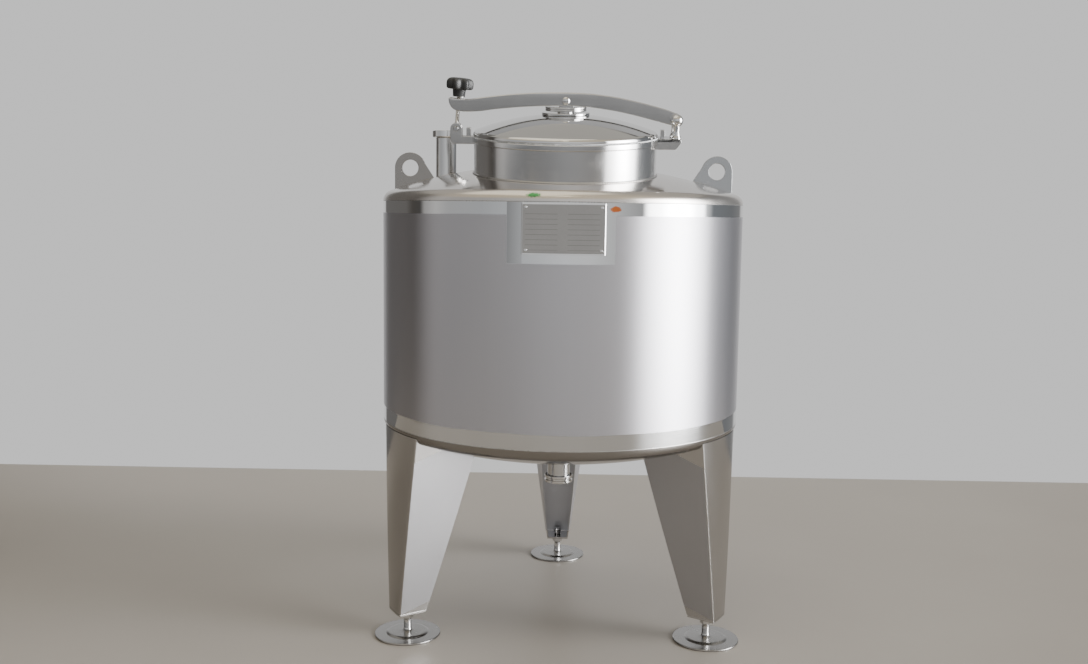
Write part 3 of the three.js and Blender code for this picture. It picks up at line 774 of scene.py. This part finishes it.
def make_lid():
    shoulder_r = LID_R - LID_SHOULDER
    dish_z = LID_APEX - LID_DISH
    lean = asin(shoulder_r / (LID_DISH - LID_SHOULDER))
    bend_z = dish_z + (LID_DISH - LID_SHOULDER) * cos(lean)

    def dish(radius, share):
        return radius * sin(lean * share), dish_z + radius * cos(lean * share)

    crown = [dish(LID_DISH, k / 48) for k in range(48)]
    bend = [(shoulder_r + LID_SHOULDER * sin(a), bend_z + LID_SHOULDER * cos(a))
            for a in (lean + (pi / 2 - lean) * k / 12 for k in range(13))]
    foot = rounded([(LID_R, bend_z - 0.0002, 0), (LID_R, LID_BOTTOM, 0.0012), (shoulder_r, LID_BOTTOM, 0.001),
                    (shoulder_r, LID_BOTTOM + 0.009, 0)], 4)
    under = [dish(LID_DISH - 0.003, 0.95 * (1 - k / 30)) for k in range(31)]
    dome = lathe(crown + bend + foot + under, ROUND, MANWAY)
    piece("lid_dome", dome, "lid", "lid_and_arm", ["manway_lid"], 40)

    low = LID_APEX + GAP
    high = low + 0.0037
    edge = dish_z + sqrt(LID_DISH ** 2 - BOSS_R ** 2) + 0.0008
    disc = rounded([(0, low, 0), (0.030, low, 0), (BOSS_R, edge, 0.0006), (BOSS_R, high, 0.0012),
                    (0, high, 0)], 4)
    piece("lid_boss", lathe(disc, MEDIUM, MANWAY), "bright", "lid_and_arm")

    top, stem_r, stem_low, flange, groove = ARM_BOTTOM - 0.0028, 0.022, 0.0763, 0.080, (0.0850, 0.0858)
    pad = rounded([(0, stem_low, 0), (stem_r, stem_low, 0), (stem_r, flange, 0), (PAD_R, flange, 0.0012),
                   (PAD_R, groove[0], 0.0009), (PAD_R - 0.0015, groove[0], 0), (PAD_R - 0.0015, groove[1], 0),
                   (PAD_R, groove[1], 0.0009), (PAD_R, top, 0.0012), (0, top, 0)], 4)
    lug = rectangle(-0.018, top, 0.018, ARM_TOP - 0.003, (0, 0, 0.012, 0.012), 6)
    ear = plate_mesh([lug, circle(0, ARM_BOLT_Z, PIN_HOLE)], ARM_SLOT - 2 * GAP, 0.001, MANWAY @ facing(0))
    mesh = joined([lathe(pad, MEDIUM, MANWAY), ear])
    piece("pressure_pad", mesh, "bright", "lid_and_arm")


def arm_outline():
    """Side view of the arm: an arched bar that dips under the knob and is round at its pivot."""
    crest = smooth_path([
        (-0.302, 0.1086), (-0.3006, 0.1103), (-0.2985, 0.1106), (-0.290, 0.1093), (-0.277, 0.1079),
        (-0.260, 0.1066), (-0.246, 0.107), (-0.231, 0.1094), (-0.185, 0.1156), (-0.123, 0.1219),
        (-0.062, 0.1252), (0, ARM_TOP), (0.061, 0.1238), (0.122, 0.1169), (0.184, 0.1051), (0.246, 0.0898),
        (0.268, 0.0833)])
    belly = smooth_path([
        (0.266, 0.049), (0.248, 0.0537), (0.217, 0.0615), (0.186, 0.0692), (0.155, 0.0761), (0.124, 0.082),
        (0.093, 0.0865), (0.062, 0.0904), (0.031, 0.0928), (0, ARM_BOTTOM), (-0.062, 0.0919),
        (-0.123, 0.0883), (-0.185, 0.0822), (-0.216, 0.0778), (-0.247, 0.0757), (-0.270, 0.076),
        (-0.285, 0.0794)])
    end = arc(*PIVOT, 0.0155, 74, -105, 18)
    tip = [(-0.2907, 0.0824), (-0.2950, 0.0862), (-0.2985, 0.0915), (-0.3008, 0.0975), (-0.302, 0.104)]
    return (crest + end + belly + tip)[::-1]


def hex_nut(across, height, hole, matrix):
    """Hexagon nut standing on z = 0, chamfered on top."""
    outer = across / 2 / cos(pi / 6)
    nut = lathe([(hole, 0), (outer, 0), (outer, height), (hole, height)], 6, Matrix())
    for v in nut.vertices:
        if v.co.z > height / 2 and v.co.xy.length > hole * 1.5:
            v.co.z -= height * 0.10
    nut.transform(matrix)
    return nut


def make_arm():
    offset = (ARM_SLOT + ARM_PLATE) / 2
    loops = [arm_outline(), circle(0, ARM_BOLT_Z, PIN_HOLE), circle(*PIVOT, PIN_HOLE)]
    parts = [plate_mesh(loops, ARM_PLATE, 0.0015, MANWAY @ facing(y)) for y in (-offset, offset)]
    for x, z in ((-0.178, 0.099), (0.186, 0.087)):
        spacer = rectangle(x - 0.013, z - 0.008, x + 0.013, z + 0.008, (0.002,) * 4, 4)
        parts.append(plate_mesh([spacer], ARM_SLOT + 0.002, 0.0005, MANWAY @ facing(0)))
    sleeve = [(PIN_HOLE, -0.009), (0.014, -0.009), (0.014, 0.009), (PIN_HOLE, 0.009)]
    parts.append(lathe(sleeve, SMALL, on_manway(*PIVOT) @ XZ))
    piece("clamp_arm", joined(parts), "arm", "lid_and_arm")

    face = ARM_SLOT / 2 + ARM_PLATE + GAP
    head_end, shank_end = -face - 0.006, face + 0.012
    head = [(r, head_end + (z + face + 0.0105) * 0.57) for r, z in arc(0, -face, 0.0105, -90, 0, 8)[1:]]
    shank = [(0, head_end), *head, (PIN_R, -face), (PIN_R, shank_end), (0, shank_end)]
    at = on_manway(0, ARM_BOLT_Z) @ Matrix.Rotation(-pi / 2, 4, "X")
    nut = hex_nut(0.0175, 0.009, PIN_R, at @ shift(0, 0, face))
    piece("arm_centre_bolt", joined([lathe(shank, SMALL, at), nut]), "bright", "lid_and_arm")


def outside_neck(part):
    """A bracket's part less everything inside the neck and rim, which the bracket is welded to."""
    neck, rim = NECK_R + GAP, RIM_R + GAP
    outline = [(0, -0.2), (neck, -0.2), (neck, -GAP), (rim, -GAP), (rim, 0.1), (0, 0.1)]
    return cut(closed(part), lathe(outline, ROUND, MANWAY))


def guide_block(x, low):
    """Upright block beside the lid's edge, a part of a bracket."""
    outline = rectangle(x - 0.0055, low, x + 0.0055, GUIDE_TOP, (0, 0, 0.002, 0.002))
    return plate_mesh([outline], 0.024, 0.0012, MANWAY @ facing(0))


def make_pivot():
    post_y, flange_y, shelf = 0.029, 0.039, RIM_H
    inner, outer, slope = 0.228, 0.297, 0.284
    side = rounded([(inner, -0.0125, 0), (slope, -0.0125, 0.003), (outer, 0.0055, 0.003),
                    (outer, shelf, 0.001), (inner, shelf, 0)])
    parts = [plate_mesh([side], 0.008, 0.001, MANWAY @ facing(y)) for y in (-flange_y, flange_y)]
    edge = flange_y + 0.004
    top = rectangle(inner, -edge, outer, edge, (0, 0.003, 0.003, 0))
    parts += [plate_mesh([top], 0.008, 0.001, on_manway(0, shelf - 0.004)), guide_block(GUIDE_X, 0.0058)]
    piece("pivot_bracket", joined([outside_neck(part) for part in parts]), "bracket")

    foot = shelf + GAP
    ball = arc(0, PIVOT[1], 0.016, -60, 90, 22)
    rise = [(0.0116, 0), (0.012, 0.0005), (0.012, 0.0024), (0.0116, 0.0038), (0.0104, 0.0062),
            (0.0088, 0.010), (0.0078, 0.015), (0.0075, 0.020)]
    post = [(0, foot), *((r, foot + z) for r, z in rise), *ball[:-1], (0, ball[-1][1])]
    for name, y in (("pivot_post_front", -post_y), ("pivot_post_rear", post_y)):
        solid = lathe(post, 64, MANWAY @ shift(PIVOT[0], y, 0))
        room = closed(box_mesh((PIVOT[0] - 0.04, -0.017, -0.05), (PIVOT[0] + 0.04, 0.017, 0.15), MANWAY))
        piece(name, cut(solid, room), "bright")
    pin = rectangle(0, -0.039, PIN_R, 0.039, (0, 0.001, 0.001, 0), 4)
    piece("pivot_pin", lathe(pin, SMALL, on_manway(*PIVOT) @ XZ), "bright")


def make_swing_bolt():
    ear_y = (ARM_SLOT + ARM_PLATE) / 2 + GAP
    x, z = BOLT
    inner, low, shelf = -0.228, -0.007, RIM_H - 0.001
    ear = [(inner, shelf), (x + 0.015, shelf), *arc(x, z, 0.015, 0, 180, 20), (x - 0.015, 0.004),
           (x - 0.008, low), (inner, low)]
    loops = [ear, circle(x, z, PIN_HOLE)]
    parts = [plate_mesh(loops, ARM_PLATE, 0.001, MANWAY @ facing(y)) for y in (-ear_y, ear_y)]
    web = box_mesh((-0.260, -ear_y, low + 0.0005), (-0.230, ear_y, shelf - 0.0005), MANWAY)
    parts = [outside_neck(part) for part in (*parts, web, guide_block(-GUIDE_X, 0.0052))]
    parts = [cut(part, rod(PIN_HOLE, (x, -0.04, z), (x, 0.04, z), MANWAY)) for part in parts]
    piece("clamp_bracket", joined(parts), "bracket")

    at = on_manway(x, z)
    reach, edge = ear_y + 0.008, 0.0052
    pin = [(0, -reach), (edge, -reach), (PIN_R, -reach + 0.001), (PIN_R, reach - 0.001), (edge, reach),
           (0, reach)]
    piece("swing_pin", lathe(pin, SMALL, at @ XZ), "bright")

    half = ARM_SLOT / 2 - GAP
    eye = rectangle(PIN_HOLE, -half, 0.013, half, (0.0005, 0.002, 0.002, 0.0005), 4)
    crest, root = 0.0055, 0.0049
    pitch, first, last = 0.00175, 0.016, 0.1075
    stem = [(0, 0.0105), (0.0058, 0.0105), (crest, 0.0155)]
    for k in range(int((last - first) / pitch)):
        low = first + k * pitch
        stem += [(crest, low), (root, low + pitch / 2)]
    stem += [(crest, last), (crest - 0.0005, last + 0.0005), (0, last + 0.0005)]
    swing = at @ Matrix.Rotation(BOLT_LEAN, 4, "Y")
    mesh = joined([lathe(eye, SMALL, at @ XZ), lathe(stem, 32, swing)])
    piece("swing_bolt", mesh, "bright", "hold_down_bolt", sharp=50)


def make_knob():
    at = on_manway(*BOLT) @ Matrix.Rotation(BOLT_LEAN, 4, "Y")
    washer = rectangle(0.006, 0.0808, 0.017, 0.0818, (0.0002, 0.0004, 0.0004, 0.0002), 3)
    piece("knob_washer", lathe(washer, MEDIUM, at), "bright", "knob")

    lobes, reach, depth, around = 7, 0.0325, 0.0035, 168
    levels = [(0.0995, 0.60), (0.0997, 0.78), (0.1005, 0.88), (0.1026, 0.955), (0.1062, 0.985),
              (0.1104, 0.998), (0.1154, 0.998), (0.1194, 0.975), (0.1232, 0.92), (0.1262, 0.83),
              (0.1277, 0.72), (0.1284, 0.55)]
    verts, faces = [], [tuple(range(around))[::-1]]
    for height, scale in levels:
        flute = depth * min(1.0, max(0.0, (scale - 0.55) / 0.35))
        for a in angles(around):
            wave = cos(lobes * a)
            radius = reach * scale + flute * (wave if wave > 0 else 1.15 * wave)
            verts.append((radius * cos(a), radius * sin(a), height))
    for i in range(len(levels) - 1):
        faces += quads(i * around, (i + 1) * around, around)
    dish, last = len(verts), len(verts) - around
    verts.append((0, 0, 0.1278))
    faces += [(last + k, last + (k + 1) % around, dish) for k in range(around)]
    hub = [(0.006, 0.0822), (0.0150, 0.0822), (0.0156, 0.0828), (0.0174, 0.1002), (0.006, 0.1002)]
    mesh = joined([mesh_from(verts, faces, at), lathe(hub, MEDIUM, at)])
    piece("star_knob", mesh, "knob", "knob", sharp=40)


# Nozzles and lugs

def make_nozzles():
    vent = shift(VENT_X, 0, 1.30)
    saddle_tube("vent_pipe", VENT_OUT, VENT_IN, 0.046, vent, "pipe")
    low, top, lip_r = 1.3463, 1.366, 0.0385
    lip = rounded([(VENT_IN, low, 0), (0.0294, low, 0), (0.0372, low + 0.0020, 0.0006),
                   (lip_r, low + 0.0033, 0.0006), (lip_r, top, 0.0009), (VENT_IN, top, 0.0009)], 3)
    piece("vent_ferrule", lathe(lip, MEDIUM, TANK @ shift(VENT_X, 0, 0)), "rim")
    weld("vent_weld", meeting_ring(VENT_OUT + 0.0006, vent, Vector((0, 0, -1)), 240), 0.0019, 0.12, 60)
    path = [Vector((VENT_X + px, py, pz)) for px, py, pz in ring(VENT_OUT - 0.0002, low - 0.0002, MEDIUM)]
    weld("vent_top_weld", path, 0.0008, 0.1, 32, 6)

    drain = shift(0, 0, 0.43) @ Matrix.Rotation(pi, 4, "X")
    saddle_tube("outlet_pipe", OUTLET_OUT, OUTLET_IN, 0.0382, drain, "pipe", seam=LOW_SEAM, side=-1)
    end, seat, rim = 0.371, 0.3915, 0.040
    waist = rim - 0.003
    collar = rounded([(OUTLET_IN, end, 0.0008), (rim, end, 0.0015), (rim, end + 0.0066, 0.0005),
                      (waist, end + 0.0086, 0.0008), (waist, end + 0.0122, 0.0008),
                      (rim, end + 0.0142, 0.0005), (rim, seat, 0.0012), (OUTLET_IN, seat, 0.0005)], 3)
    piece("outlet_ferrule", lathe(collar, MEDIUM), "rim")
    path = meeting_ring(OUTLET_OUT + 0.0006, drain, Vector((0, 0, 1)), 240, LOW_SEAM, -1)
    weld("outlet_weld", path, 0.0019, 0.12, 60)


def make_lugs():
    hole_x, hole_z = LUG_HOLE
    outline = [(LUG_INNER, 1.15), (hole_x + LUG_R, 1.15), *arc(hole_x, hole_z, LUG_R, 0, 163, 40),
               (LUG_INNER, 1.234)]
    loops = [outline, circle(hole_x, hole_z, 0.023, 64)]
    for side, turn in (("right", 0), ("left", pi)):
        place = TANK @ Matrix.Rotation(turn, 4, "Z")
        lug = cut(closed(plate_mesh(loops, LUG_THICK, 0.0012, place @ facing(0))), head_room(TOP_SEAM, 1))
        piece("lifting_lug_" + side, lug, "lug_" + side)
        for face, y in (("front", -LUG_THICK / 2 - 0.0002), ("rear", LUG_THICK / 2 + 0.0002)):
            foot = [0.363 + 0.109 * k / 60 for k in range(61)]
            path = [Vector((x, y, TOP_SEAM + crown_height(hypot(x, y)) + 0.0004)) for x in foot]
            weld(f"lug_weld_{side}_{face}", path, 0.0026, 0.12, 30, loop=False, matrix=place)


def make_nameplate():
    half, tall, front, sheet, reach = 0.100, 0.121, 0.516, 0.003, 0.036
    at = TANK @ shift(0.0025, 0, 1.106)
    section = rounded([(-half, -front, 0.004), (half, -front, 0.004), (half, reach - front, 0),
                       (half - sheet, reach - front, 0), (half - sheet, sheet - front, 0.0015),
                       (sheet - half, sheet - front, 0.0015), (sheet - half, reach - front, 0),
                       (-half, reach - front, 0)])
    drum = rod(SHELL_R + GAP, (0, 0, 1.0), (0, 0, 1.2), TANK, ROUND)
    piece("nameplate_bracket", cut(closed(plate_mesh([section], tall, 0.0004, at)), drum), "rim")

    face = -front - GAP
    outline = rectangle(-0.097, -0.0575, 0.097, 0.0575, (0.002,) * 4, 4)
    piece("nameplate", plate_mesh([outline], 0.0010, 0.0002, at @ facing(face - 0.0005)), "plate")
    screw_r, rise = 0.0036, 0.0006
    dome = [(screw_r * sin(a), rise * cos(a)) for a in (radians(d) for d in range(10, 91, 10))]
    dome = [(0, rise), *dome, (screw_r, -0.0005), (0, -0.0005)]
    heads = [lathe(dome, 24, at @ shift(x, face - 0.0009, z) @ XZ)
             for x in (-0.0895, 0.0895) for z in (-0.0505, 0.0505)]
    piece("nameplate_screws", joined(heads), "bright", nodes=())


# Legs

def leg_turn(z):
    """Angle from the leg's middle to its side panels, which stand in planes through the tank's axis."""
    return radians(4.5 + 16.4 * (z - LEG_BASE))


def leg_inner(z):
    return 0.427 - 0.295 * (z - 0.071)


def leg_outer(z):
    return SHELL_R + LEG_FLARE * max(0.0, LEG_FLARE_Z - z) / (LEG_FLARE_Z - LEG_BASE)


def polar(radius, angle, inset=0.0):
    """Point at a radius and angle, moved by inset away from the side panel."""
    c, s = cos(angle), sin(angle)
    return radius * c + inset * s, radius * s - inset * c


def leg_face(radius, turn, corner):
    """Outer face of a leg from side to side, with a radius for its two corners."""
    turns = [turn * (k / 6 - 1) for k in range(13)]
    return [(*polar(radius, a), corner if abs(a) == turn else 0) for a in turns]


def leg_outline(z):
    turn, inner = leg_turn(z), leg_inner(z)
    face = leg_face(leg_outer(z), turn, 0.0035)
    return rounded([(*polar(inner, -turn), 0), *face, (*polar(inner, turn), 0)], 4)


def channel(z):
    """Section of a leg at height z: curved outer face, bent corners and flat side panels."""
    inner, outer, turn = leg_inner(z), leg_outer(z) - WALL, leg_turn(z)
    in_turn = turn - asin(WALL / outer)
    inside = rounded([(*polar(inner, -turn, -WALL), 0), *leg_face(outer, in_turn, 0.0008),
                      (*polar(inner, turn, WALL), 0)], 4)
    return leg_outline(z) + inside[::-1]


def loft(levels):
    """Closed solid through like outlines: levels are (height, outline)."""
    count = len(levels[0][1])
    verts = [(x, y, z) for z, outline in levels for x, y in outline]
    faces = []
    for i in range(len(levels) - 1):
        faces += quads(i * count, (i + 1) * count, count)
    for start in (0, (len(levels) - 1) * count):
        for k in range(count // 2 - 1):
            faces.append((start + k, start + k + 1, start + count - 2 - k, start + count - 1 - k))
    return verts, faces


def make_leg(side, azimuth):
    turn = TANK @ Matrix.Rotation(radians(azimuth - 90), 4, "Z")
    low = LEG_BASE + LEG_BASE_H + GAP
    heights = [low + (LEG_FLARE_Z - low) * k / 5 for k in range(6)] + [LEG_TOP]
    sheet = closed(mesh_from(*loft([(z, channel(z)) for z in heights]), turn))
    piece("leg_" + side, cut(sheet, head_room(LOW_SEAM, -1)), "leg")

    base = [leg_outline(LEG_BASE + 0.001), circle(FOOT_CIRCLE, 0, SPINDLE_R + GAP)]
    middle = turn @ shift(0, 0, LEG_BASE + LEG_BASE_H / 2)
    piece("leg_base_" + side, plate_mesh(base, LEG_BASE_H, 0.0008, middle), "leg")

    at = turn @ shift(FOOT_CIRCLE, 0, 0)
    disc = rounded([(0, 0, 0), (FOOT_R, 0, 0.0008), (FOOT_R, 0.0045, 0.002), (0.058, 0.0052, 0.004),
                    (0.0535, 0.0075, 0), (0.0505, 0.0088, 0), (0.0465, 0.0092, 0), (0.030, 0.0096, 0),
                    (0.0165, 0.0102, 0), (0.0135, 0.0117, 0), (0.012, 0.012, 0), (0, 0.012, 0)], 4)
    piece("foot_disc_" + side, lathe(disc, 128, at), "foot")

    foot, top, thread, pitch = 0.0123, 0.090, 0.0385, 0.0022
    stem = [(0, foot), (0.0110, foot), (0.0110, foot + 0.0032), (0.0106, foot + 0.0040),
            (0.0100, foot + 0.0048), (SPINDLE_R, thread)]
    for k in range(int((top - 0.003 - thread) / pitch)):
        low = thread + k * pitch
        stem += [(SPINDLE_R, low + 0.0002), (SPINDLE_R - 0.0008, low + pitch / 2)]
    stem += [(SPINDLE_R - 0.0004, top - 0.002), (SPINDLE_R - 0.002, top), (0, top)]
    piece("foot_spindle_" + side, lathe(stem, SMALL, at), "bright", sharp=60)
    nut = hex_nut(0.0267, 0.0177, SPINDLE_R + GAP, at @ shift(0, 0, 0.046))
    piece("foot_locknut_" + side, nut, "bright")


# Stage

def make_stage():
    left, front, right, back = -3.4, -3.8, 3.4, 1.55
    verts = [(x, y, -0.0005) for x, y in ((left, front), (right, front), (right, back), (left, back))]
    floor = placed("floor", mesh_from(verts, [(0, 1, 2, 3)]))
    floor.data.materials.append(floor_paint())


# Light from round about, as (degrees to the right of the viewer's side, brightness, warmth)
BRIGHTEST = 30.0
SURROUNDINGS = [
    (-180, 0.76, 0), (-154, 0.76, 0), (-150, 0.15, 0.04), (-114, 0.15, 0.06), (-106, 0.08, 0.10),
    (-98, 0.08, 0.06), (-94, 0.42, 0.03), (-84, 0.62, 0.02), (-74, 0.50, 0), (-50, 0.50, -0.02),
    (-25, 0.64, -0.02), (2, 0.86, -0.02), (16, 0.86, -0.01), (34, 0.68, 0), (50, 0.44, 0), (54, 9, 0),
    (62, 14, 0), (72, 30, 0), (80, 30, 0), (90, 12, -0.01), (96, 8, -0.01), (99, 1.2, -0.02),
    (106, 0.25, -0.06), (130, 0.20, -0.04), (148, 0.25, 0), (154, 0.76, 0), (180, 0.76, 0)]
LOW_FRONT_LIGHT = 11.5
LAMP_AT = (0.0, -0.62, 0.78)
BACKDROP = 0.76


def make_world():
    """Soft surroundings: a tall window on the right, a shaded left, a pale back, less light from low in front
    and a warm ceiling with a lamp and a dark crease at the back. The camera sees an even backdrop instead."""
    world = bpy.data.worlds.new("studio")
    bpy.context.scene.world = world
    world.use_nodes = True
    tree = world.node_tree
    background = next(n for n in tree.nodes if n.type == "BACKGROUND")
    toward = add(tree, "TexCoord")
    x, y, z = split(tree, toward)
    turn = calc(tree, "ARCTAN2", x, times(tree, y, -1.0))
    colors = add(tree, "ValToRGB", {0: ramp(tree, turn, -pi, pi, smooth=False)})
    stops = colors.node.color_ramp.elements
    while len(stops) > 1:
        stops.remove(stops[-1])
    for i, (degrees, level, warm) in enumerate(SURROUNDINGS):
        share = (degrees + 180) / 360
        stop = stops[0] if i == 0 else stops.new(share)
        stop.position = share
        stop.color = grey(level / BRIGHTEST, warm)
    low_front = times(tree, ramp(tree, z, -0.10, -0.22), ramp(tree, y, 0.35, 0.0))
    strength = ramp(tree, low_front, 0.0, 1.0, BRIGHTEST, LOW_FRONT_LIGHT, smooth=False)
    walls = add(tree, "VectorMath", {0: colors, "Scale": strength}, operation="SCALE")

    ceiling = blend(tree, ramp(tree, y, 0.25, -0.5), (0.52, 0.50, 0.455, 1), (0.74, 0.655, 0.50, 1))
    lamp = ramp(tree, vector(tree, "DISTANCE", toward, LAMP_AT, out=1), 0.085, 0.02)
    ceiling = blend(tree, lamp, ceiling, (4.2, 3.9, 3.1, 1))
    behind = ramp(tree, y, 0.0, 0.3)
    crease = times(tree, band(tree, z, 0.565, 0.60, 0.012), behind)
    ceiling = blend(tree, crease, ceiling, grey(0.09))
    up = mix(tree, behind, ramp(tree, z, 0.36, 0.62), ramp(tree, z, 0.55, 0.575))
    seen_directly = add(tree, "LightPath")
    color = blend(tree, seen_directly, blend(tree, up, walls, ceiling), grey(BACKDROP))
    put(tree, background, "Color", color)


def make_light():
    """Wide warm light overhead."""
    data = bpy.data.lights.new("overhead", "AREA")
    data.shape = "RECTANGLE"
    data.size = data.size_y = 2.6
    data.energy = 19
    data.color = (1.0, 0.93, 0.77)
    place, aim = Vector((-0.6, -0.6, 3.9)), Vector((0, 0, 0.9))
    light = placed("overhead", data)
    light.location = place
    light.rotation_euler = (aim - place).to_track_quat("-Z", "Y").to_euler()


def make_camera():
    data = bpy.data.cameras.new("view")
    data.lens = CAMERA_LENS
    data.sensor_width = 36
    data.sensor_fit = "HORIZONTAL"
    data.shift_y = CAMERA_SHIFT
    camera = placed("view", data)
    turn = Matrix.Rotation(CAMERA_YAW, 4, "Z") @ Matrix.Rotation(pi / 2 - CAMERA_PITCH, 4, "X")
    camera.matrix_world = shift(*CAMERA_AT) @ turn @ Matrix.Rotation(CAMERA_ROLL, 4, "Z")
    bpy.context.scene.camera = camera


for make in (make_camera, make_stage, make_world, make_light):
    make()
LOOKS = make_looks()
for make in (make_vessel, make_neck, make_lid, make_arm, make_pivot, make_swing_bolt, make_knob, make_nozzles,
             make_lugs, make_nameplate):
    make()
for leg_side, leg_azimuth in LEG_AZIMUTHS.items():
    make_leg(leg_side, leg_azimuth)
